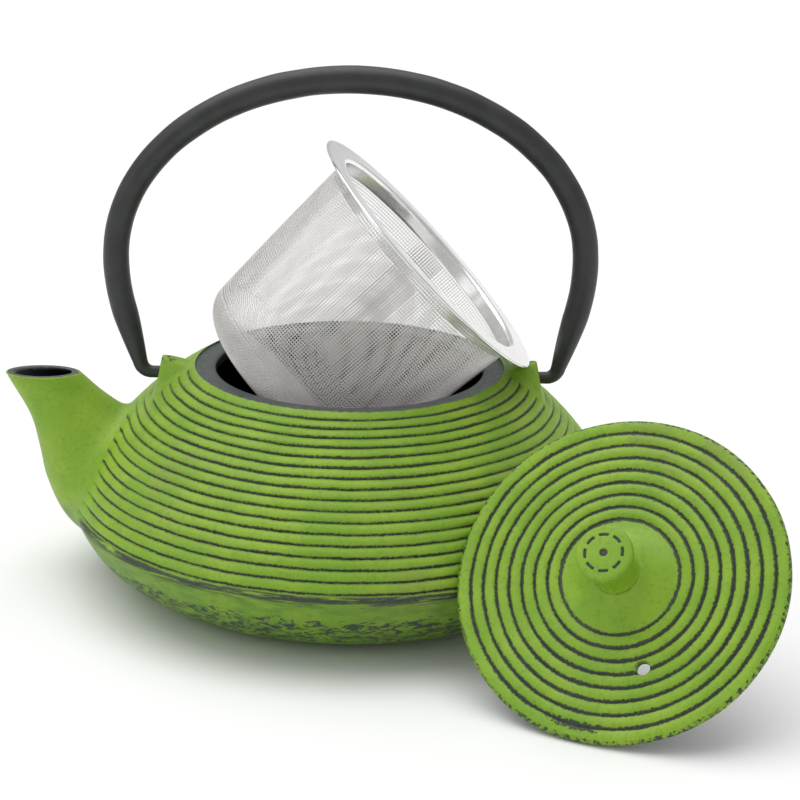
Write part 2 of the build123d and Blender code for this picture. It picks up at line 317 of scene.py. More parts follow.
SHOULDER_HALF_WIDTH = half_width(BODY_RADIUS, SHOULDER_HALF_HEIGHT)
SHOULDER_ANGLES = np.linspace(math.acos(SEAT_RADIUS / SHOULDER_HALF_WIDTH),
                              math.acos(BODY_RADIUS / SHOULDER_HALF_WIDTH), 3000)
SHOULDER_LINE = np.stack([SHOULDER_HALF_WIDTH * np.cos(SHOULDER_ANGLES),
                          SHOULDER_CENTRE + SHOULDER_HALF_HEIGHT * np.sin(SHOULDER_ANGLES)], -1)
SHOULDER_LENGTHS = lengths_along(SHOULDER_LINE)
SHOULDER_LENGTH = SHOULDER_LENGTHS[-1]
RIB_CREST = 0.56
# how the rows of points are shared out over one rib, above the ribs and below them
RIB_ROWS = (0.0, 0.05, 0.13, 0.26, 0.42, 0.58, 0.74, 0.86, 0.94, 0.98)
SEAT_ROWS = (1.0, 0.97, 0.85, 0.65, 0.45, 0.28, 0.14, 0.05)
EQUATOR_ROWS = (0.25, 0.6, 1.0)
LAST_GROOVE_RUN_OUT = 1.6


def rib_depth(x):
    """Depth of the skin under the smooth shoulder, as a share of a groove's, x ribs from the first."""
    phase = x - np.floor(x)
    upper = np.clip((RIB_CREST - phase) / RIB_CREST, 0, 1) ** 2.0
    lower = np.clip((phase - RIB_CREST) / (1 - RIB_CREST), 0, 1) ** 2.6
    ribs = np.maximum(upper, lower)
    before = np.clip(1 + x * RIB_PITCH / FIRST_GROOVE, 0, 1) ** 3
    after = np.clip(1 - (x - RIB_COUNT) * RIB_PITCH / LAST_GROOVE_RUN_OUT, 0, 1)
    return np.where(x < 0, before, np.where(x > RIB_COUNT, after, ribs))


def wander(points):
    """How far the hand-cut grooves stray along the shoulder, mm."""
    return 0.24 * noise3(points, 21.0) + 0.12 * noise3(points, 5.0)


def bowl_axes(reach, floor):
    """Half axes of the bowl's ellipse, and its angle below the level at the equator, in degrees."""
    half_height = BOWL_CENTRE - floor
    share = (BOWL_CENTRE - EQUATOR_HEIGHT) / half_height
    return reach / math.sqrt(1 - share ** 2), half_height, math.degrees(math.asin(share))


def body_field(p):
    """Roughly the distance out of the smooth body, mm."""
    r, z = np.hypot(p[:, 0], p[:, 1]), p[:, 2]
    half_width, half_height, _ = bowl_axes(BOWL_REACH, 0)
    upper = off_ellipse(r, z - SHOULDER_CENTRE, SHOULDER_HALF_WIDTH, SHOULDER_HALF_HEIGHT)
    lower = off_ellipse(np.maximum(r - FOOT_RADIUS, 0), z - BOWL_CENTRE, half_width, half_height)
    return np.where(z > EQUATOR_HEIGHT, upper, lower)


def spline(table, count):
    """Smooth curves through the rows of a table, spaced by its first two columns."""
    knots = lengths_along(table[:, :2])
    slopes = np.gradient(table, knots, axis=0)
    at = np.linspace(0, knots[-1], count)
    k = np.clip(np.searchsorted(knots, at) - 1, 0, len(knots) - 2)
    h = (knots[k + 1] - knots[k])[:, None]
    t = ((at - knots[k]) / h[:, 0])[:, None]
    return ((2 * t ** 3 - 3 * t ** 2 + 1) * table[k] + (t ** 3 - 2 * t ** 2 + t) * h * slopes[k]
            + (3 * t ** 2 - 2 * t ** 3) * table[k + 1] + (t ** 3 - t ** 2) * h * slopes[k + 1])


SPOUT_LINE = spline(SPOUT_SECTIONS, 110)
SPOUT_LEAN = np.radians(SPOUT_LINE[:, 2])
SPOUT_ALONG = np.stack([np.cos(SPOUT_LEAN), 0 * SPOUT_LEAN, np.sin(SPOUT_LEAN)], -1)
SPOUT_UP = np.stack([-np.sin(SPOUT_LEAN), 0 * SPOUT_LEAN, np.cos(SPOUT_LEAN)], -1)
SPOUT_CENTRES = np.stack([SPOUT_LINE[:, 0], 0 * SPOUT_LEAN, SPOUT_LINE[:, 1]], -1)


def spout_field(p):
    """Roughly the distance out of the smooth spout, mm."""
    height = np.einsum("nkc,kc->nk", p[:, None] - SPOUT_CENTRES[None], SPOUT_UP)
    below = (height > 0).sum(1)
    k = np.clip(below - 1, 0, len(SPOUT_LINE) - 2)
    rows = np.arange(len(p))
    h0, h1 = height[rows, k], height[rows, k + 1]
    t = np.clip(h0 / np.where(np.abs(h0 - h1) < 1e-6, 1, h0 - h1), 0, 1)[:, None]

    def mid(values):
        return values[k] * (1 - t) + values[k + 1] * t

    offset = p - mid(SPOUT_CENTRES)
    u, v = (offset * mid(SPOUT_ALONG)).sum(1), p[:, 1]
    return off_ellipse(u, v, mid(SPOUT_LINE[:, 3:4])[:, 0], mid(SPOUT_LINE[:, 4:5])[:, 0])


LUG_CENTRE = np.array([57.0, 0.0, 63.0])
LUG_FLANK = np.array([0.07, 0.80, 0.60])
LUG_RIDGE = np.array([-0.33, 0.0, 0.94])
LUG_DRAFT = 0.17
LUG_BASE = 61.5


def smooth_max(a, b, k):
    h = np.clip(k - np.abs(a - b), 0, None) / k
    return np.maximum(a, b) + h * h * k / 4


def smooth_min(a, b, k):
    return -smooth_max(-a, -b, k)


def lug_field(p):
    """Roughly the distance out of either lug, a wedge with a flat outer face."""
    x, y, z = np.abs(p[:, 0]), np.abs(p[:, 1]), p[:, 2]
    flank = ((x - LUG_FACE) * LUG_FLANK[0] + (y - 1.2) * LUG_FLANK[1]
             + (z - LUG_TOP) * LUG_FLANK[2]) / np.linalg.norm(LUG_FLANK)
    ridge = ((x - 58.5) * LUG_RIDGE[0] + (z - LUG_TOP) * LUG_RIDGE[2]) / np.linalg.norm(LUG_RIDGE)
    top = smooth_max(z - LUG_TOP, ridge, 1.0)
    face = (x - LUG_FACE + LUG_DRAFT * (z - LUG_BASE)) / math.hypot(1, LUG_DRAFT)
    wedge = smooth_max(smooth_max(flank, top, 1.2), face, 0.8)
    return np.maximum(wedge, np.maximum(47.0 - x, 57.0 - z))


SPOUT_BLEND = 4.0
LUG_BLEND = 1.0


def skin_field(p):
    """The smooth outside of body, spout and lugs as one casting."""
    body = body_field(p)
    with_spout = smooth_min(body, spout_field(p), SPOUT_BLEND)
    return smooth_min(with_spout, lug_field(p), LUG_BLEND)


def rib_strength(p):
    """Where the ribs are: they fade out towards the spout and the lugs."""
    near_spout = step(spout_field(p), SPOUT_BLEND * 0.25, SPOUT_BLEND * 0.9)
    return near_spout * step(lug_field(p), LUG_BLEND * 0.4, LUG_BLEND * 1.6)


def body_points():
    """Rings of the ribbed body, from the seat down to the foot."""
    x = [k + phase for k in range(RIB_COUNT) for phase in RIB_ROWS] + [float(RIB_COUNT)]
    start = -FIRST_GROOVE / RIB_PITCH
    x = list(start * np.array(SEAT_ROWS)) + x
    end = (SHOULDER_LENGTH - FIRST_GROOVE) / RIB_PITCH
    x += list(RIB_COUNT + (end - RIB_COUNT) * np.array(EQUATOR_ROWS))
    x = np.array(x)
    nominal = FIRST_GROOVE + x * RIB_PITCH

    def shoulder(lengths):
        r = np.interp(lengths, SHOULDER_LENGTHS, SHOULDER_LINE[:, 0])
        z = np.interp(lengths, SHOULDER_LENGTHS, SHOULDER_LINE[:, 1])
        n_r, n_z = r / SHOULDER_HALF_WIDTH ** 2, (z - SHOULDER_CENTRE) / SHOULDER_HALF_HEIGHT ** 2
        size = np.hypot(n_r, n_z)
        return r, z, n_r / size, n_z / size

    segments = 400
    r, z, _, _ = shoulder(nominal)
    flat = ring_of(r, z, segments)
    inside = (x > start * 0.9) & (x < end - 0.3)
    shift = wander(flat) * inside[:, None]
    a = circle_angles(segments)
    r, z, n_r, n_z = shoulder(nominal[:, None] + shift)
    strength = rib_strength(flat.reshape(-1, 3)).reshape(flat.shape[:2])
    depth = GROOVE_DEPTH * rib_depth(x)[:, None] * strength * (1 + 0.18 * noise3(flat, 9.0))
    lumps = 0.10 * noise3(flat, 14.0)
    r, z = r + n_r * (lumps - depth), z + n_z * (lumps - depth)
    ribbed = np.stack([r * np.cos(a), r * np.sin(a), z], -1)

    seat = lines((6.0, SEAT_HEIGHT), (36.0, SEAT_HEIGHT), spacing=10.0)
    seat = np.vstack([seat, [(45.0, SEAT_HEIGHT), (SEAT_RADIUS - 0.6, SEAT_HEIGHT),
                             (SEAT_RADIUS - 0.15, SEAT_HEIGHT + 0.1), (SEAT_RADIUS, SEAT_HEIGHT + 0.4)]])
    seat = ring_of(seat[:, 0], seat[:, 1], segments)
    edge = 0.22 * noise3(seat[-1], 3.0)[:, None]
    seat[-3:, :, :2] *= 1 + edge[None] / SEAT_RADIUS

    bowl_width, bowl_height, equator = bowl_axes(BOWL_REACH, 0)
    bowl = ellipse_points((FOOT_RADIUS, BOWL_CENTRE), bowl_width, bowl_height, -equator, -90, 44)[1:]
    bowl = ring_of(bowl[:, 0], bowl[:, 1], segments)
    relief = 0.16 * noise3(bowl * (1, 1, 1.6), 7.0) + 0.10 * noise3(bowl * (1, 1, 1.8), 2.6)
    fade = np.linspace(0, 1, len(bowl))[:, None]
    relief = relief * step(fade, 0.02, 0.15) * step(1 - fade, 0.0, 0.12)
    bowl = bowl + unit(bowl * (1, 1, 0)) * relief[..., None]
    foot = lines((FOOT_RADIUS - 3, 0.0), (3.0, 0.0), spacing=8.0)
    foot = ring_of(foot[:, 0], foot[:, 1], segments)
    return np.vstack([seat, ribbed, bowl, foot])


def tube_rings(along, across, cols):
    """Elliptical rings of the spout or its bore, from the mouth down to the root."""
    a = circle_angles(cols)
    rings = (SPOUT_CENTRES[:, None]
             + (along[:, None] * np.cos(a))[..., None] * SPOUT_ALONG[:, None]
             + (across[:, None] * np.sin(a))[..., None] * np.array([0, 1.0, 0]))
    return rings[::-1]


def spout_skin():
    rings = tube_rings(SPOUT_LINE[:, 3], SPOUT_LINE[:, 4], 128)
    top = rings[0]
    centre = top.mean(0)

    def inset(amount, drop):
        return top - unit(top - centre) * amount - (0, 0, drop)

    lip = [inset(1.0, 0), inset(0.5, 0.03), inset(0.22, 0.12), inset(0.06, 0.3)]
    rings = np.vstack([np.array(lip), rings[1:]])
    return capped(rings, centre, rings[-1].mean(0))


def bore_skin():
    rings = tube_rings(SPOUT_LINE[:, 5], SPOUT_LINE[:, 6], 96)
    top = rings[0]
    out = unit(top - top.mean(0))
    flare = [top + out * 0.55 + (0, 0, 3.0), top + out * 0.55, top + out * 0.2 - (0, 0, 0.2)]
    rings = np.vstack([np.array(flare), rings[1:]])
    return capped(rings, rings[0].mean(0), rings[-1].mean(0))


def lug_skin(side):
    rows, cols = 56, 72
    polar = np.linspace(0, np.pi, rows + 2)[1:-1, None]
    a = circle_angles(cols)[None]
    ray = np.stack([np.sin(polar) * np.cos(a), np.sin(polar) * np.sin(a), np.cos(polar) + 0 * a], -1)
    ray = np.vstack([ray.reshape(-1, 3), [(0, 0, 1), (0, 0, -1)]])
    low, high = np.zeros(len(ray)), np.full(len(ray), 30.0)
    for _ in range(40):
        middle = (low + high) / 2
        out = lug_field(LUG_CENTRE + ray * middle[:, None]) > 0
        low, high = np.where(out, low, middle), np.where(out, middle, high)
    points = LUG_CENTRE + ray * low[:, None]
    rings = points[:-2].reshape(rows, cols, 3)
    if side < 0:
        rings = rings[:, ::-1] * (-1, 1, 1)
    return capped(rings, points[-2] * (side, 1, 1), points[-1] * (side, 1, 1))


def cavity_skin():
    inner = half_width(BODY_RADIUS - WALL, INNER_HALF_HEIGHT)
    neck = math.degrees(math.acos(MOUTH_RADIUS / inner))
    equator = math.degrees(math.acos((BODY_RADIUS - WALL) / inner))
    shoulder = ellipse_points((0, SHOULDER_CENTRE), inner, INNER_HALF_HEIGHT, neck, equator, 44)
    bowl_width, bowl_height, bowl_equator = bowl_axes(BOWL_REACH - WALL, FLOOR_THICKNESS)
    bowl = ellipse_points((FOOT_RADIUS, BOWL_CENTRE), bowl_width, bowl_height, -bowl_equator, -90, 26)[1:]
    above = SEAT_HEIGHT + WALL + 2
    outline = np.vstack([[(0, above), (20, above), (MOUTH_RADIUS + 0.5, above),
                          (MOUTH_RADIUS + 0.5, SEAT_HEIGHT), (MOUTH_RADIUS + 0.12, SEAT_HEIGHT - 0.3),
                          (MOUTH_RADIUS, SEAT_HEIGHT - 0.8)],
                         shoulder, bowl,
                         [(40, FLOOR_THICKNESS), (20, FLOOR_THICKNESS), (0, FLOOR_THICKNESS)]])
    return lathe(outline, 160)


def pin_hole_skin(side):
    a = circle_angles(40)
    xs = [LUG_FACE - PIN_HOLE_DEPTH, LUG_FACE - 0.4, LUG_FACE - 0.1, LUG_FACE + 4]
    rs = [PIN_HOLE_RADIUS, PIN_HOLE_RADIUS, PIN_HOLE_RADIUS + 0.3, PIN_HOLE_RADIUS + 0.3]
    rings = [np.stack([0 * a + side * x, side * -r * np.sin(a), HINGE_HEIGHT + r * np.cos(a)], -1)
             for x, r in zip(xs, rs)]
    rings = np.array(rings)
    return capped(rings, (side * xs[0], 0, HINGE_HEIGHT), (side * xs[-1], 0, HINGE_HEIGHT))


SETTLING_ROUNDS = 6
PROBE = 0.02
CREASE_REACH = 3.5


def settle_blends(mesh):
    """Moves the skin near a junction on to the smooth blend, and evens its points there."""
    points = coords(mesh)
    body, spout, lug = body_field(points), spout_field(points), lug_field(points)
    outside = np.minimum(np.minimum(body, spout), lug) > -1.15
    outside &= (np.hypot(points[:, 0], points[:, 1]) > SEAT_RADIUS + 0.4)
    outside &= points[:, 2] < SPOUT_TOP - 0.8 + 20 * (points[:, 0] > -80)
    near = np.abs(body - spout) < SPOUT_BLEND
    near |= np.abs(np.minimum(body, spout) - lug) < LUG_BLEND
    near &= outside & (points[:, 2] > 3.0)
    pick = np.nonzero(near)[0]
    edges = np.zeros(len(mesh.edges) * 2, int)
    mesh.edges.foreach_get("vertices", edges)
    edges = edges.reshape(-1, 2)
    edges = edges[near[edges].any(1)]

    def project(p):
        for _ in range(3):
            value = skin_field(p)
            slope = np.stack([skin_field(p + PROBE * axis) - value for axis in np.eye(3)], -1) / PROBE
            move = value[:, None] * slope / np.maximum((slope ** 2).sum(1, keepdims=True), 0.2)
            size = np.linalg.norm(move, axis=1, keepdims=True)
            p = p - move * np.minimum(1, 1.5 / np.maximum(size, TINY))
        return p

    crease = near & (np.abs(body - spout) < CREASE_REACH)
    for turn in range(SETTLING_ROUNDS):
        points[pick] = project(points[pick])
        total, count = np.zeros_like(points), np.zeros(len(points))
        for a, b in ((0, 1), (1, 0)):
            np.add.at(total, edges[:, a], points[edges[:, b]])
            np.add.at(count, edges[:, a], 1)
        mean = total / np.maximum(count, 1)[:, None]
        if turn < SETTLING_ROUNDS - 1:
            points = points + (mean - points) * 0.5 * (crease & (count > 0))[:, None]
    set_coords(mesh, points)


def pot_attributes(mesh):
    points = coords(mesh)
    r, z = np.hypot(points[:, 0], points[:, 1]), points[:, 2]
    angle = np.arctan2((z - SHOULDER_CENTRE) / SHOULDER_HALF_HEIGHT, r / SHOULDER_HALF_WIDTH)
    length = np.interp(-angle, -SHOULDER_ANGLES, SHOULDER_LENGTHS)
    x = (length - wander(points) - FIRST_GROOVE) / RIB_PITCH
    on_bowl = (SHOULDER_LENGTH + EQUATOR_HEIGHT - z - FIRST_GROOVE) / RIB_PITCH
    x = np.where(z < EQUATOR_HEIGHT, on_bowl, x)
    body, spout, lug = body_field(points), spout_field(points), lug_field(points)
    hard = np.minimum(np.minimum(body, spout), lug)
    seat = (r < SEAT_RADIUS + 0.6) & (z > SEAT_HEIGHT - 0.6) & (lug > -0.6)
    rim = (z > SPOUT_TOP - 0.9) & (points[:, 0] < -84)
    inner = (hard < -1.7) & ~seat & ~rim
    bare = np.where(inner, 3.0, -3.0)
    bare = np.where(seat, SEAT_RADIUS + 0.1 - r, bare)
    bare = np.where(rim, -spout - 0.4, bare)
    smeared = step(spout, 0.0, 1.0 + 14.0 * step(x, 9.5, 14.5))
    edge = step(lug, 1.2, 0.1) * step(z, LUG_TOP - 2.9, LUG_TOP - 0.6)
    add_attributes(mesh, rib=x, fade=rib_strength(points) * smeared, bare=bare, inner=inner,
                   worn=0.55 * edge)


def build_pot():
    rings = body_points()
    pot = link("pot", make_mesh("pot", *capped(rings, (0, 0, SEAT_HEIGHT), (0, 0, 0))))
    boolean(pot, "UNION", spout_skin(), lug_skin(1), lug_skin(-1))
    settle_blends(pot.data)
    boolean(pot, "DIFFERENCE", cavity_skin(), bore_skin(), pin_hole_skin(1), pin_hole_skin(-1))
    pot_attributes(pot.data)
    smooth_shade(pot.data, 50)
    return pot


# ---- bail ----
BAIL_SIDES = 44
ARCH_TOP_SWELL = 0.22


def bail_line():
    """The right half of the bar's centreline, from the pin's tip to the top, with its radius."""
    bend_reach = ELBOW_RADIUS * math.tan((math.pi / 2 - LEG_ANGLE) / 2)
    inset, drop = ARCH_HALF_SPAN - LEG_CORNER, ARCH_SPRING - HINGE_HEIGHT
    ratio = (1 - math.cos(LEG_ANGLE)) / math.sin(LEG_ANGLE)
    straight = (inset - drop * ratio) / (math.sin(LEG_ANGLE) - math.cos(LEG_ANGLE) * ratio)
    bend = (drop - straight * math.cos(LEG_ANGLE)) / math.sin(LEG_ANGLE)
    corner = np.array([LEG_CORNER, HINGE_HEIGHT])
    elbow_low = corner - (bend_reach, 0)
    elbow_centre = elbow_low + (0, ELBOW_RADIUS)
    turn = np.linspace(-math.pi / 2, -LEG_ANGLE, 16)
    elbow = elbow_centre + ELBOW_RADIUS * np.stack([np.cos(turn), np.sin(turn)], -1)
    knee = np.array([ARCH_HALF_SPAN - bend * (1 - math.cos(LEG_ANGLE)),
                     ARCH_SPRING - bend * math.sin(LEG_ANGLE)])
    leg = lines(elbow[-1], knee, spacing=0.7)[1:]
    turn = np.linspace(-LEG_ANGLE, 0, 40)[1:]
    thigh = (ARCH_HALF_SPAN - bend, ARCH_SPRING) + bend * np.stack([np.cos(turn), np.sin(turn)], -1)
    turn = np.linspace(0, math.pi / 2, 150)[1:]
    arch = np.stack([ARCH_HALF_SPAN * np.cos(turn), ARCH_SPRING + ARCH_RISE * np.sin(turn)], -1)
    pin = lines((LUG_FACE - PIN_DEPTH, HINGE_HEIGHT), elbow_low, spacing=0.7)[:-1]
    line = np.vstack([pin, elbow, leg, thigh, arch])
    share = np.linspace(0, 1, len(leg))
    full = BAIL_RADIUS - 0.05
    radius = np.concatenate([
        np.full(len(pin), PIN_RADIUS),
        PIN_RADIUS + (LEG_END_RADIUS - PIN_RADIUS) * np.linspace(0, 1, len(elbow)),
        LEG_END_RADIUS + (full - LEG_END_RADIUS) * (1 - (1 - share) ** 1.35),
        np.full(len(thigh), full),
        full + ARCH_TOP_SWELL * np.sin(turn) ** 2,
    ])
    radius[0] = PIN_RADIUS - 0.35
    return line, radius


def build_bail():
    line, radius = bail_line()
    line = np.vstack([line, line[-2::-1] * (-1, 1)])
    radius = np.concatenate([radius, radius[-2::-1]])
    path = np.stack([line[:, 0], 0 * line[:, 0], line[:, 1]], -1)
    normals = np.broadcast_to(np.array([0, 1.0, 0]), path.shape)
    free = step(radius, LEG_END_RADIUS, BAIL_RADIUS)
    radius = radius + free * 0.05 * noise3(path, 12.0)
    points, faces = tube(path[None], normals[None], radius[None], BAIL_SIDES)
    lumps = 0.07 * noise3(points, 6.0) * np.repeat(free, BAIL_SIDES)
    points = points + unit(points - np.repeat(path, BAIL_SIDES, axis=0)) * lumps[:, None]
    mesh = make_mesh("bail", points, faces)
    smooth_shade(mesh, 60)
    return link("bail", mesh)


# ---- lid and knob, in the lid's own level frame ----
def lid_matrix():
    facing = Vector((math.sin(LID_LEAN) * math.cos(LID_HEADING),
                     math.sin(LID_LEAN) * math.sin(LID_HEADING), math.cos(LID_LEAN)))
    level = Vector((-math.sin(LID_HEADING), math.cos(LID_HEADING), 0))
    across = facing.cross(level)
    height = ((LID_RADIUS - LID_EDGE_RADIUS) * math.sin(LID_LEAN)
              + LID_EDGE_RADIUS * (1 - math.cos(LID_LEAN)))
    place = Matrix((level, across, facing)).transposed().to_4x4()
    place.translation = Vector((LID_X, LID_Y, height)) * MM
    return place


LID_OUTER_ROWS = (0, 0.05, 0.13, 0.25, 0.4, 0.55, 0.65)
LID_SKIN_DEPTH = 1.6
PATCH_BEARING = -92
PATCH_SPREAD = 15


def lid_wander(points):
    """How far the lid's grooves stray from their circles, mm."""
    return 0.13 * noise3(points, 11.0) + 0.08 * noise3(points, 3.5)


def lid_top(radius):
    edge = LID_RADIUS - LID_EDGE_RADIUS
    slope = (LID_BOSS_HEIGHT - 2 * LID_EDGE_RADIUS) / (edge - LID_BOSS_RADIUS)
    return 2 * LID_EDGE_RADIUS + slope * (edge - radius)


VENT_PLACE = np.array([VENT_REACH * math.cos(VENT_BEARING), VENT_REACH * math.sin(VENT_BEARING), 0])


def vent_skin():
    top = lid_top(VENT_REACH)
    wide = VENT_RADIUS + 0.2
    cut = ring_of((wide, wide, VENT_RADIUS, VENT_RADIUS), (20, top, top - 0.35, -8), 48) + VENT_PLACE
    return capped(cut, VENT_PLACE + (0, 0, 20), VENT_PLACE + (0, 0, -8))


def lid_attributes(mesh):
    points = coords(mesh)
    z, r = points[:, 2], np.hypot(points[:, 0], points[:, 1])
    flat_edge = LID_RADIUS - LID_EDGE_RADIUS
    rib = (r - LID_BOSS_RADIUS - lid_wander(points)) / LID_PITCH
    skin = lid_top(r) - LID_SKIN_DEPTH
    on_top = (z > skin) & (r < flat_edge + 1.4)
    under_side = (z <= skin) & (z < LID_EDGE_RADIUS * 0.5)
    inner = (z < skin) & (r < flat_edge)
    bearing = np.degrees(np.arctan2(points[:, 1], points[:, 0]))
    patch = (step(r, flat_edge - 5.1, flat_edge - 3.3) * step(r, flat_edge - 0.1, flat_edge - 1.7)
             * np.exp(-((bearing - PATCH_BEARING) / PATCH_SPREAD) ** 2))
    rim_wear = 0.62 * step(r, flat_edge - 0.1, flat_edge + 0.9) * step(z, 0.2, 1.2)
    vent = np.hypot(*(points - VENT_PLACE)[:, :2].T)
    hole_wear = 0.5 * step(vent, VENT_RADIUS + 0.7, VENT_RADIUS + 0.2)
    add_attributes(mesh, rib=rib, fade=on_top, bare=np.where(inner | under_side, 3.0, -3.0), inner=0 * r,
                   worn=np.maximum.reduce([0.8 * patch, rim_wear, hole_wear]))


def build_lid():
    segments = 360
    edge = LID_RADIUS - LID_EDGE_RADIUS
    waist = np.array([(LID_BOSS_RADIUS + KNOB_NECK_RADIUS) / 2,
                      (LID_BOSS_HEIGHT + KNOB_FOOT_HEIGHT) / 2 - 1.0])
    start = np.array([LID_KNOB_SEAT, KNOB_FOOT_HEIGHT])
    end = np.array([LID_BOSS_RADIUS, LID_BOSS_HEIGHT - LID_GROOVE_DEPTH])
    flank = bezier(np.linspace(0, 1, 22)[:, None], start, 2 * waist - (start + end) / 2, end)
    x = [k + phase for k in range(LID_GROOVES - 1) for phase in RIB_ROWS]
    x += [LID_GROOVES - 1 + share for share in LID_OUTER_ROWS]
    x = np.array(x[1:])
    ribs = LID_BOSS_RADIUS + x * LID_PITCH
    phase = x - np.floor(x)
    sunk = np.where(phase < 0.5, (1 - 2 * phase) ** 2.2, (2 * phase - 1) ** 2.2)
    sunk = np.where(x > LID_GROOVES - 1, np.clip(1 - 2.2 * phase, 0, 1) ** 2, sunk)
    turn = np.linspace(math.pi / 2, -math.pi / 2, 15)
    rim = np.stack([edge + LID_EDGE_RADIUS * np.cos(turn),
                    LID_EDGE_RADIUS + LID_EDGE_RADIUS * np.sin(turn)], -1)
    lip = LID_LIP_RADIUS - LID_SKIN
    under = lines((edge - 2, 0), (LID_LIP_RADIUS + 0.8, 0), (LID_LIP_RADIUS, -0.5),
                  (LID_LIP_RADIUS, 0.4 - LID_LIP_DEPTH), (LID_LIP_RADIUS - 0.4, -LID_LIP_DEPTH),
                  (lip + 0.4, -LID_LIP_DEPTH), (lip, 0.4 - LID_LIP_DEPTH), (lip, LID_RECESS - 0.6),
                  (lip - 0.6, LID_RECESS),
                  (LID_BOSS_RADIUS, LID_BOSS_HEIGHT - LID_SKIN - LID_GROOVE_DEPTH),
                  (STUD_RADIUS + 0.05, LID_BOSS_HEIGHT - 0.1), spacing=3.0)
    outline = np.vstack([
        lines((STUD_RADIUS + 0.05, KNOB_FOOT_HEIGHT - 0.1), (LID_KNOB_SEAT - 0.2, KNOB_FOOT_HEIGHT),
              spacing=1.4),
        flank, np.stack([ribs, lid_top(ribs)], -1), rim, under])
    rings = ring_of(outline[:, 0], outline[:, 1], segments)
    first = len(outline) - len(under) - len(rim) - len(ribs)
    rows = slice(first, first + len(ribs))
    flat = rings[rows]
    drift = lid_wander(flat) * step(ribs, LID_BOSS_RADIUS + 0.2, LID_BOSS_RADIUS + 2.7)[:, None]
    deep = LID_GROOVE_DEPTH * sunk[:, None] * (1 + 0.2 * noise3(flat, 7.0))
    rings[rows] = flat + unit(flat * (1, 1, 0)) * drift[..., None]
    rings[rows, :, 2] += 0.06 * noise3(flat, 9.0) - deep
    edge_rows = slice(first + len(ribs), first + len(ribs) + len(rim))
    rings[edge_rows] *= 1 + (0.0035 * noise3(rings[edge_rows], 16.0))[..., None] * np.array([1, 1, 0])
    boss = slice(4, first)
    lift = 0.12 * noise3(rings[boss], 6.0) * step(np.arange(first - 4), 1, 6)[:, None]
    rings[boss, :, 2] += lift
    faces = grid_faces(len(rings), segments, True).tolist()
    lid = link("lid", make_mesh("lid", rings.reshape(-1, 3), faces))
    boolean(lid, "DIFFERENCE", vent_skin())
    lid_attributes(lid.data)
    smooth_shade(lid.data, 55)
    lid.data.transform(lid_matrix())
    return lid


KNOB_MARKS = 8
KNOB_MARK_RADIUS = 5.3
KNOB_SEAM_AT = math.radians(-78)


def near_seam(points, width):
    """1 on the knob's casting seam, falling away to the sides."""
    angle = np.arctan2(points[..., 1], points[..., 0])
    return np.exp(-((angle - KNOB_SEAM_AT) * KNOB_NECK_RADIUS / width) ** 2)


def build_knob():
    segments = 168
    face = KNOB_RADIUS - 1.0
    head = KNOB_TOP - KNOB_HEAD
    disc = np.linspace(0.25, face, 30)
    turn = np.linspace(0, 1, 14)[1:, None]
    brow = np.array([KNOB_RADIUS, KNOB_TOP - 2.4])
    crown = bezier(turn, np.array([face, KNOB_TOP]), np.array([KNOB_RADIUS + 0.5, KNOB_TOP + 0.1]), brow)
    tuck = bezier(turn, brow, np.array([KNOB_RADIUS - 0.1, head + 0.6]),
                  np.array([KNOB_NECK_RADIUS, head - 0.4]))
    neck = lines((KNOB_NECK_RADIUS - 0.05, head - 1), (KNOB_NECK_RADIUS, KNOB_FOOT_HEIGHT + 1.2),
                 (KNOB_NECK_RADIUS + 0.5, KNOB_FOOT_HEIGHT + 0.05), spacing=0.5)
    under = LID_BOSS_HEIGHT - STUD_HEAD
    stud = lines((STUD_RADIUS, KNOB_FOOT_HEIGHT), (STUD_RADIUS, LID_BOSS_HEIGHT),
                 (STUD_HEAD_RADIUS, under + STUD_HEAD / 2), (STUD_HEAD_RADIUS - 0.3, under),
                 (1.0, under), spacing=1.2)
    outline = np.vstack([np.stack([disc, KNOB_TOP + 0 * disc], -1), crown, tuck, neck, stud])
    rings = ring_of(outline[:, 0], outline[:, 1], segments)
    top = rings[:len(disc)]
    r = np.hypot(top[..., 0], top[..., 1])
    a = np.arctan2(top[..., 1], top[..., 0])
    turn_share = (a / (2 * np.pi) * KNOB_MARKS + 0.2) % 1
    dash = step(-np.abs(r - KNOB_MARK_RADIUS), -0.55, -0.2)
    dash *= step(-np.abs(turn_share - 0.5), -0.36, -0.29)
    dot = step(-r, -1.35, -0.9)
    sunk = np.maximum(dash, dot)
    top[..., 2] += 0.25 * (1 - (r / face) ** 2) - 0.4 * sunk
    rings[:len(disc)] = top
    body = rings[len(disc):len(outline) - len(stud)]
    swell = 1 + (0.28 * near_seam(body, 0.45) + 0.10 * noise3(body, 4.0)) / KNOB_NECK_RADIUS
    rings[len(disc):len(outline) - len(stud)] = body * np.stack([swell, swell, 1 + 0 * swell], -1)
    points, faces = capped(rings, (0, 0, KNOB_TOP - 0.15), (0, 0, under))
    mesh = make_mesh("knob", points, faces)
    points = coords(mesh)
    plain = np.zeros(len(points))
    marks = np.concatenate([sunk.ravel(), np.zeros(len(points) - sunk.size)])
    marks[-2] = 1.0
    neck_line = step(-np.abs(points[:, 2] - head + 0.5), -1.0, -0.2) * 0.45
    seam = near_seam(points, 0.5) * 0.42 * (points[:, 2] < head)
    foot = step(-points[:, 2], -KNOB_FOOT_HEIGHT - 1.6, -KNOB_FOOT_HEIGHT) * 0.4
    add_attributes(mesh, rib=plain - 9, fade=plain, bare=plain - 3, inner=plain,
                   worn=np.maximum.reduce([neck_line, seam, foot, 1.6 * marks]))
    smooth_shade(mesh, 60)
    knob = link("knob", mesh)
    mesh.transform(lid_matrix())
    return knob


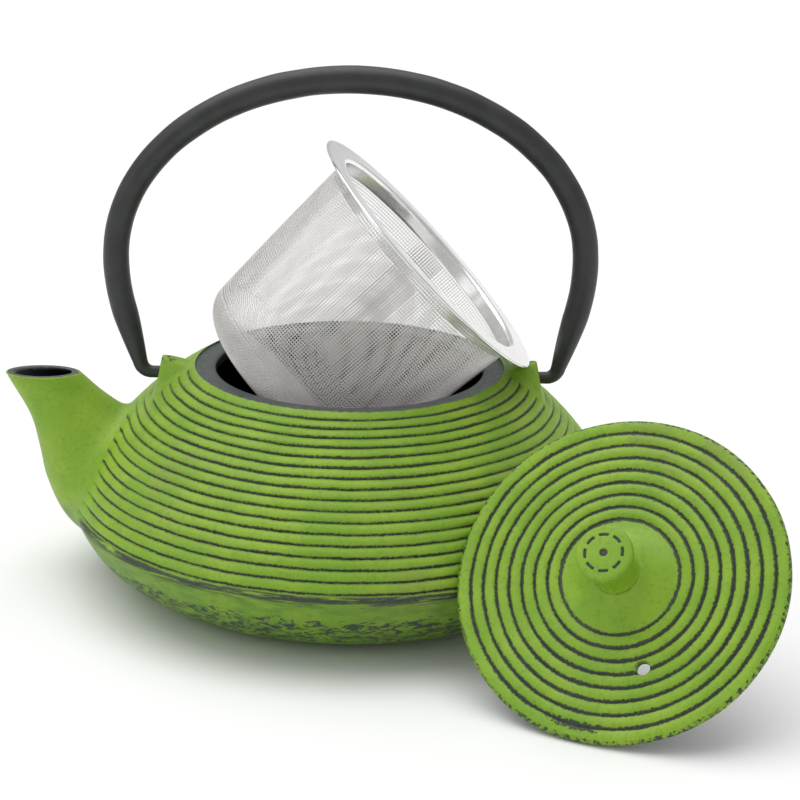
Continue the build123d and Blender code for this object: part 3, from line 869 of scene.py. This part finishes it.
# ---- infuser, in its seated frame ----
def tilt_matrix():
    hinge = Vector(TILT_AXIS) * MM
    turn = Matrix.Translation(hinge) @ Matrix.Rotation(TILT, 4, "Y") @ Matrix.Translation(-hinge)
    return Matrix.Translation(Vector(TILT_SHIFT) * MM) @ turn


def build_flange():
    top, outer = FLANGE_TOP, THROAT_RADIUS + THROAT_WALL
    roll, hem = 1.3, FLANGE_THICKNESS / 2

    under, bend = top - FLANGE_THICKNESS, 0.9
    loop = np.vstack([
        lines((THROAT_RADIUS + 0.1, top - THROAT_DEPTH), (THROAT_RADIUS, top - THROAT_DEPTH + 0.3),
              (THROAT_RADIUS, top - roll), spacing=0.8)[:-1],
        ellipse_points((THROAT_RADIUS + roll, top - roll), roll, roll, 180, 90, 10),
        lines((41.5, top - 0.02), (44.5, top - 0.02), (FLANGE_RADIUS - hem, top), spacing=1.5)[:-1],
        ellipse_points((FLANGE_RADIUS - hem, top - hem), hem, hem, 90, -90, 10),
        lines((44.5, under), (outer + 1.2, under), spacing=1.5),
        ellipse_points((outer + bend, under - bend), bend, bend, 100, 180, 7),
        lines((outer, top - 2.2), (outer, top - THROAT_DEPTH + 0.1), spacing=1.0),
    ])
    segments = 288
    rings = ring_of(loop[:, 0], loop[:, 1], segments)
    rings[..., 2] += 0.05 * noise3(rings * (1, 1, 0), 22.0)
    mesh = make_mesh("flange", rings.reshape(-1, 3), grid_faces(len(loop), segments, True).tolist())
    smooth_shade(mesh, 60)
    return link("infuser_rim", mesh)


WIRE = 0.12
UPRIGHTS = 252
WALL_TOP = FLANGE_TOP - FLANGE_THICKNESS - 0.3
WALL_BOTTOM = FLANGE_TOP - BASKET_DEPTH + BASKET_CORNER
WIRE_PITCH = 0.93
WIRE_SIDES = 4


def wall_radius(z):
    """Middle of the mesh's thickness: a collar round the throat, then a slightly bowed cone."""
    collar = THROAT_RADIUS + THROAT_WALL + MESH / 2
    foot = BASKET_BOTTOM_RADIUS - MESH / 2
    throat = FLANGE_TOP - THROAT_DEPTH
    t = np.clip((throat - z) / (throat - WALL_BOTTOM), 0, 1)
    return collar + (foot - collar) * t + 4 * BASKET_BOW * t * (1 - t)


def crimp(rows, cols):
    """Over and under, in a chequer."""
    return (-1.0) ** (rows[:, None] + cols[None, :])


def ring_count(top):
    return int(round((top - WALL_BOTTOM) / WIRE_PITCH)) + 1


def woven_lines(z, angles, inset=0.0):
    """Crossings of the wires on the wall: on the uprights, on the hoops, and their normals."""
    weave = WIRE * crimp(np.arange(len(z)), np.arange(len(angles)))
    ray = np.stack([np.cos(angles), np.sin(angles), 0 * angles], -1)
    r = wall_radius(z)[:, None] - inset
    heights = np.broadcast_to(z[:, None, None], (*weave.shape, 1))
    upright, hoop = (np.concatenate([(r + offset)[..., None] * ray[None, :, :2], heights], -1)
                     for offset in (weave, -weave))
    normals = np.broadcast_to(ray[None], (*weave.shape, 3))
    return upright.transpose(1, 0, 2), hoop, normals.transpose(1, 0, 2), normals


def wire_piece(name, points, faces):
    mesh = make_mesh(name, points, faces)
    mesh.shade_smooth()
    return link(name, mesh)


def build_wall():
    z = np.linspace(WALL_TOP, WALL_BOTTOM, ring_count(WALL_TOP))
    a = np.arange(UPRIGHTS) * 2 * np.pi / UPRIGHTS
    sway = 0.0016 * noise3(np.stack([40 * np.cos(a), 40 * np.sin(a), 0 * a], -1), 9.0)
    upright, hoop, upright_normals, hoop_normals = woven_lines(z, a + sway)
    hoop[..., 2] += 0.05 * noise3(hoop, 8.0)
    return (wire_piece("infuser_wall_uprights", *tube(upright, upright_normals, WIRE, WIRE_SIDES)),
            wire_piece("infuser_wall_hoops", *tube(hoop, hoop_normals, WIRE, WIRE_SIDES, closed=True)))


SEAM_BEARING = 77.5
SEAM_WIDTH = 17.0
SEAM_WIRES = 13
SEAM_DROP = 4.6


def build_seam():
    """The lap: a second layer of the same mesh inside the wall."""
    top = WALL_TOP - SEAM_DROP
    z = np.linspace(top, WALL_BOTTOM + 0.4, ring_count(top))
    a = np.linspace(SEAM_BEARING - SEAM_WIDTH / 2, SEAM_BEARING + SEAM_WIDTH / 2, SEAM_WIRES)
    upright, hoop, upright_normals, hoop_normals = woven_lines(z, np.radians(a), 2 * MESH - 0.62)
    one = tube(upright, upright_normals, WIRE, WIRE_SIDES)
    two = tube(hoop, hoop_normals, WIRE, WIRE_SIDES)
    faces = one[1] + [[i + len(one[0]) for i in face] for face in two[1]]
    return wire_piece("infuser_lap_seam", np.vstack([one[0], two[0]]), faces)


def build_base():
    """The same mesh dished at its edge: a flat sheet's lines, laid over the dish."""
    bottom = FLANGE_TOP - BASKET_DEPTH + MESH / 2
    flat = BASKET_BOTTOM_RADIUS - BASKET_CORNER
    bend = BASKET_CORNER - MESH / 2
    reach = flat + bend * math.pi / 2
    lines_each = int(reach / WIRE_PITCH)
    grid = np.arange(-lines_each, lines_each + 1)
    parts, all_faces, count = [], [], 0

    def dish(u, v, offset):
        rho = np.hypot(u, v) + TINY
        turn = np.clip((rho - flat) / bend, 0, math.pi / 2)
        n_r, n_z = np.sin(turn), -np.cos(turn)
        r = np.minimum(rho, flat) + bend * np.sin(turn) + n_r * offset
        z = bottom + bend * (1 - np.cos(turn)) + n_z * offset
        c, s = u / rho, v / rho
        return np.stack([r * c, r * s, z], -1), np.stack([n_r * c, n_r * s, n_z], -1)

    for direction in (0, 1):
        for k in grid:
            fixed = k * WIRE_PITCH
            half = math.sqrt(max(reach ** 2 - fixed ** 2, 0))
            cells = np.arange(-int(half / WIRE_PITCH), int(half / WIRE_PITCH) + 1)
            if len(cells) < 3:
                continue
            run = np.concatenate([[-half], cells * WIRE_PITCH, [half]])
            index = np.concatenate([[cells[0] - 1], cells, [cells[-1] + 1]])
            sign = (-1.0) ** (index + k) * (1 if direction == 0 else -1) * WIRE
            u, v = (run, 0 * run + fixed) if direction == 0 else (0 * run + fixed, run)
            path, normal = dish(u, v, sign)
            points, faces = tube(path[None], normal[None], WIRE, WIRE_SIDES)
            parts.append(points)
            all_faces += [[i + count for i in face] for face in faces]
            count += len(points)
    return wire_piece("infuser_base_weave", np.vstack(parts), all_faces)


# ---- materials ----
class Shade:
    """A small builder of node materials."""

    def __init__(self, name):
        self.material = bpy.data.materials.new(name)
        self.material.use_nodes = True
        self.tree = self.material.node_tree
        self.shader = self.tree.nodes["Principled BSDF"]

    def node(self, kind, inputs=(), out=0, **settings):
        node = self.tree.nodes.new("ShaderNode" + kind)
        for key, value in settings.items():
            setattr(node, key, value)
        for key, value in dict(inputs).items():
            self.put(node.inputs[key], value)
        return node.outputs[out]

    def put(self, socket, value):
        if isinstance(value, bpy.types.NodeSocket):
            self.tree.links.new(value, socket)
        else:
            socket.default_value = value

    def set(self, **values):
        for key, value in values.items():
            self.put(self.shader.inputs[key.replace("_", " ")], value)

    def math(self, operation, *values):
        return self.node("Math", dict(enumerate(values)), operation=operation)

    def times(self, first, *others):
        for other in others:
            first = self.math("MULTIPLY", first, other)
        return first

    def attribute(self, name):
        return self.node("Attribute", attribute_name=name, out=2)

    def place(self, stretch=(1, 1, 1)):
        """Object coordinates in millimetres, stretched."""
        at = self.node("TexCoord", out=3)
        return self.node("Mapping", {"Vector": at, "Scale": [s / MM for s in stretch]})

    def noise(self, size, detail=2.0, rough=0.5, stretch=(1, 1, 1), distortion=0.0):
        """Noise from 0 to 1 with features of that size, in mm."""
        return self.node("TexNoise", {"Vector": self.place(stretch), "Scale": 1 / size, "Detail": detail,
                                      "Roughness": rough, "Distortion": distortion})

    def step(self, x, low, high):
        return self.node("MapRange", {"Value": x, "From Min": low, "From Max": high},
                         interpolation_type="SMOOTHSTEP")

    def mix(self, share, a, b):
        return self.node("Mix", {"Factor": share, 6: a, 7: b}, out=2, data_type="RGBA")

    def bump(self, height, distance, strength, under=None):
        inputs = {"Height": height, "Distance": distance * MM, "Strength": strength}
        if under is not None:
            inputs["Normal"] = under
        return self.node("Bump", inputs)


# paint and iron, from light to dark
PAINT_GLINT = (0.34, 0.52, 0.06, 1)
PAINT_PALE = (0.25, 0.415, 0.022, 1)
PAINT_MAIN = (0.175, 0.345, 0.012, 1)
PAINT_RUBBED = (0.20, 0.235, 0.055, 1)
PAINT_GRAIN = (0.12, 0.235, 0.016, 1)
PAINT_DULL = (0.075, 0.20, 0.010, 1)
# painted shade: this colour darkens the whole lower bowl
PAINT_UNDERSIDE_SHADE = (0.07, 0.17, 0.008, 1)
# painted shade: this colour darkens the paint beside the grooves
PAINT_CREASE_SHADE = (0.105, 0.17, 0.018, 1)
# the next two colours are used for the painted shade along the grooves and for real chips and wear
GROOVE_PALE = (0.05, 0.068, 0.045, 1)
GROOVE_DARK = (0.022, 0.033, 0.022, 1)
SLATE_PALE = (0.078, 0.092, 0.088, 1)
SLATE_DARK = (0.040, 0.052, 0.048, 1)
INSIDE = (0.006, 0.006, 0.006, 1)
SATIN = 0.36


def green_paint(s, cloud, grain, fine):
    green = s.mix(s.step(cloud, 0.3, 0.7), PAINT_MAIN, PAINT_PALE)
    green = s.mix(s.times(s.step(grain, 0.5, 0.72), 0.45), green, PAINT_GRAIN)
    green = s.mix(s.times(s.step(fine, 0.5, 0.72), 0.30), green, PAINT_GLINT)
    return s.mix(s.times(s.step(s.noise(30, 4, 0.6), 0.55, 0.72), 0.38), green, PAINT_RUBBED)


def bowl_wear_and_shade(s, rib, fade, last):
    """Masks of the plain bowl, counted in ribs below the last groove: the lower bowl, which also takes
    painted shade, and its wear: patches, streaks, dullness.
    """
    low = s.step(rib, last + 0.4, last + 1.2)
    patches = s.noise(3.4, 5, 0.66, stretch=(1, 1, 2.1), distortion=0.9)
    band = s.times(s.step(rib, last + 2.1, last + 3.4), s.step(rib, last + 7.3, last + 5.6))
    patch = s.times(s.step(s.math("ADD", patches, s.times(band, 0.16)), 0.655, 0.70), low)
    streaks = s.noise(2.2, 5, 0.7, stretch=(0.16, 0.16, 2.6))
    near = s.times(s.step(rib, last + 0.05, last + 0.3), s.step(rib, last + 1.9, last + 0.5))
    streak = s.step(s.math("ADD", streaks, s.times(near, 0.22)), 0.6, 0.74)
    streak = s.times(streak, near, s.step(fade, 0.2, 0.8))
    dull = s.times(low, s.step(s.noise(5, 4, 0.65, stretch=(0.6, 0.6, 1.8)), 0.4, 0.7))
    return low, s.math("MAXIMUM", patch, streak), dull


def painted_iron(name, pitch, last, mottled, line_width):
    """Satin green paint, with painted shade along and beside the grooves, rubbed to dark iron at the
    edges.
    """
    s = Shade(name)
    rib, fade, bare = s.attribute("rib"), s.attribute("fade"), s.attribute("bare")
    worn, inner = s.attribute("worn"), s.attribute("inner")
    fine, grain, cloud = s.noise(0.55, 3, 0.6), s.noise(1.5, 3, 0.6), s.noise(16, 3, 0.55)
    green = green_paint(s, cloud, grain, fine)

    # the dark line along each groove, ragged and of uneven width, is painted shade under each rib's lip,
    # with softer painted shade around it
    wide = s.math("MULTIPLY_ADD", s.noise(17, 2, 0.5), 0.7, line_width - 0.35)
    wide = s.math("ADD", wide, s.math("MULTIPLY_ADD", s.noise(0.8, 4, 0.8), 2.2, -1.1))
    away = s.times(s.math("PINGPONG", s.math("ADD", rib, 0.03), 0.5), pitch)
    ribbed = s.times(s.step(rib, -0.5, -0.3), s.step(rib, last + 0.35, last + 0.2))
    # painted shade: a ragged dark line at the bottom of each groove
    line = s.times(s.step(s.math("SUBTRACT", wide, away), -0.06, 0.06), ribbed, s.step(fade, 0.25, 0.7))
    # painted shade: the green is darkened within about 0.85 mm of each groove
    crease_shade = s.times(s.step(away, 0.85, 0.1), s.step(fade, 0.2, 0.8), ribbed)
    green = s.mix(s.times(crease_shade, 0.55), green, PAINT_CREASE_SHADE)

    spots = s.noise(1.3, 4, 0.72, distortion=0.3)
    dark = s.math("MAXIMUM", line, s.step(s.math("ADD", spots, s.times(worn, 0.55)), 0.83, 0.88))
    if mottled:
        low, patch, dull = bowl_wear_and_shade(s, rib, fade, last)
        green = s.mix(s.times(dull, 0.75), green, PAINT_DULL)
        # painted shade: the whole lower bowl is darkened a little, for its shaded underside
        green = s.mix(s.times(low, 0.3), green, PAINT_UNDERSIDE_SHADE)
        dark = s.math("MAXIMUM", dark, patch)
    ragged = s.math("ADD", bare, s.math("MULTIPLY_ADD", s.noise(1.6, 4, 0.7), 1.3, -0.65))
    iron = s.step(ragged, -0.08, 0.08)
    slate = s.mix(inner, s.mix(s.step(grain, 0.35, 0.7), SLATE_DARK, SLATE_PALE), INSIDE)
    # dark iron colour, for the painted shade of the groove lines and for real chips and wear
    groove = s.mix(s.step(fine, 0.3, 0.7), GROOVE_DARK, GROOVE_PALE)
    colour = s.mix(iron, s.mix(dark, green, groove), slate)
    rough = s.math("MULTIPLY_ADD", iron, -0.06, s.math("MULTIPLY_ADD", fine, 0.22, SATIN))
    skin = s.bump(s.noise(0.7, 4, 0.65), 0.12, 0.55)
    skin = s.bump(s.noise(4.5, 3, 0.5), 0.35, 0.35, skin)
    chips = s.bump(s.math("SUBTRACT", 1.0, s.math("MAXIMUM", dark, iron)), 0.12, 0.8, skin)
    s.set(Base_Color=colour, Roughness=rough, Normal=chips, Specular_IOR_Level=0.42)
    return s.material


def enamel():
    s = Shade("black_bar")
    cloud = s.step(s.noise(9, 3, 0.6), 0.3, 0.7)
    colour = s.mix(cloud, (0.015, 0.017, 0.016, 1), (0.026, 0.029, 0.027, 1))
    flecks = s.times(s.step(s.noise(0.6, 2, 0.6), 0.6, 0.75), 0.5)
    colour = s.mix(flecks, colour, (0.045, 0.047, 0.044, 1))
    s.set(Base_Color=colour, Roughness=s.math("MULTIPLY_ADD", s.noise(2.0, 3, 0.6), 0.2, 0.34),
          Normal=s.bump(s.noise(0.9, 3, 0.6), 0.1, 0.5), Specular_IOR_Level=0.5)
    return s.material


def steel(name, colour, rough, brushed):
    s = Shade(name)
    tint = s.mix(s.step(s.noise(7, 3, 0.6), 0.3, 0.7), colour, [c * 0.9 for c in colour[:3]] + [1])
    s.set(Base_Color=tint, Metallic=1.0,
          Roughness=s.math("MULTIPLY_ADD", s.noise(1.2, 3, 0.6), rough * 0.5, rough * 0.75),
          Normal=s.bump(s.noise(brushed, 3, 0.6), 0.02, 0.3))
    return s.material


def give(obj, material, slot, body, *nodes):
    obj.data.materials.clear()
    obj.data.materials.append(material)
    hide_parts(*nodes)
    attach(obj, body)


pot_paint = painted_iron("green_iron_pot", RIB_PITCH, RIB_COUNT, mottled=True, line_width=0.27)
lid_paint = painted_iron("green_iron_lid", LID_PITCH, LID_GROOVES - 1, mottled=False, line_width=0.5)
polished = steel("steel_sheet", (0.93, 0.93, 0.925, 1), 0.2, 0.5)
woven = steel("steel_mesh", (0.97, 0.94, 0.93, 1), 0.42, 0.3)

pot = build_pot()
give(pot, pot_paint, "green_iron", "pot", "pot_casting")
bail = build_bail()
give(bail, enamel(), "black_bar", "bail", "bail_handle")
lid, knob = build_lid(), build_knob()
give(lid, lid_paint, "green_iron", "lid", "lid_plate")
give(knob, lid_paint, "green_iron", "lid", "lid_knob")
rim = build_flange()
uprights, hoops = build_wall()
seam, base = build_seam(), build_base()
for piece in (rim, uprights, hoops, seam, base):
    piece.data.transform(tilt_matrix())
give(rim, polished, "steel_sheet", "infuser", "infuser_flange")
for piece in (uprights, hoops, seam):
    give(piece, woven, "steel_mesh", "infuser", "infuser_wall_mesh")
give(base, woven, "steel_mesh", "infuser", "infuser_base_mesh")

# ---- floor, light and camera ----
FLOOR_REACH = 6.0
FLOOR_CORNERS = ((-1, -1), (1, -1), (1, 1), (-1, 1))
floor_mesh = bpy.data.meshes.new("floor")
floor_mesh.from_pydata([(x * FLOOR_REACH, y * FLOOR_REACH, 0) for x, y in FLOOR_CORNERS],
                       [], [(0, 1, 2, 3)])
floor = link("floor", floor_mesh)
floor.location.z = -0.0001
pale = Shade("pale_floor")
pale.set(Base_Color=(0.92, 0.92, 0.92, 1), Roughness=0.6, Specular_IOR_Level=0.1)
floor_mesh.materials.append(pale.material)


def light(name, kind, energy, **settings):
    data = bpy.data.lights.new(name, kind)
    data.energy = energy
    for key, value in settings.items():
        setattr(data, key, value)
    return link(name, data)


LAMP_AT = Vector((-1.1, -0.5, 0.8))
LAMP_AIM = Vector((0, 0, 0.08))
lamp = light("left_light", "AREA", 2, shape="DISK", size=0.9)
lamp.location = LAMP_AT
lamp.rotation_euler = (LAMP_AIM - LAMP_AT).to_track_quat("-Z", "Y").to_euler()
sun = light("sun", "SUN", 1.9, angle=math.radians(70))
sun.rotation_euler = (math.radians(-12), math.radians(-10), 0)
world = bpy.data.worlds.new("studio")
bpy.context.scene.world = world
world.use_nodes = True
background = world.node_tree.nodes["Background"]
background.inputs["Color"].default_value = (1, 1, 1, 1)
background.inputs["Strength"].default_value = 0.55

CAMERA_AT = (0.0, -650.0, 269.8)
PITCH, YAW, ROLL = math.radians(18.03), math.radians(1.448), math.radians(1.358)
FOCAL_PIXELS, IMAGE_PIXELS = 2112.5, 800
camera_data = bpy.data.cameras.new("camera")
camera_data.sensor_width = 36
camera_data.lens = FOCAL_PIXELS / IMAGE_PIXELS * camera_data.sensor_width
camera_data.clip_end = 50
camera = link("camera", camera_data)
forward = Vector((math.sin(YAW) * math.cos(PITCH), math.cos(YAW) * math.cos(PITCH), -math.sin(PITCH)))
right = Vector((math.cos(YAW), -math.sin(YAW), 0))
up = right.cross(forward)
right, up = (math.cos(ROLL) * right + math.sin(ROLL) * up,
             math.cos(ROLL) * up - math.sin(ROLL) * right)
camera.matrix_world = Matrix((right, up, -forward)).transposed().to_4x4()
camera.location = Vector(CAMERA_AT) * MM
bpy.context.scene.camera = camera
bpy.context.scene.view_settings.view_transform = "Standard"
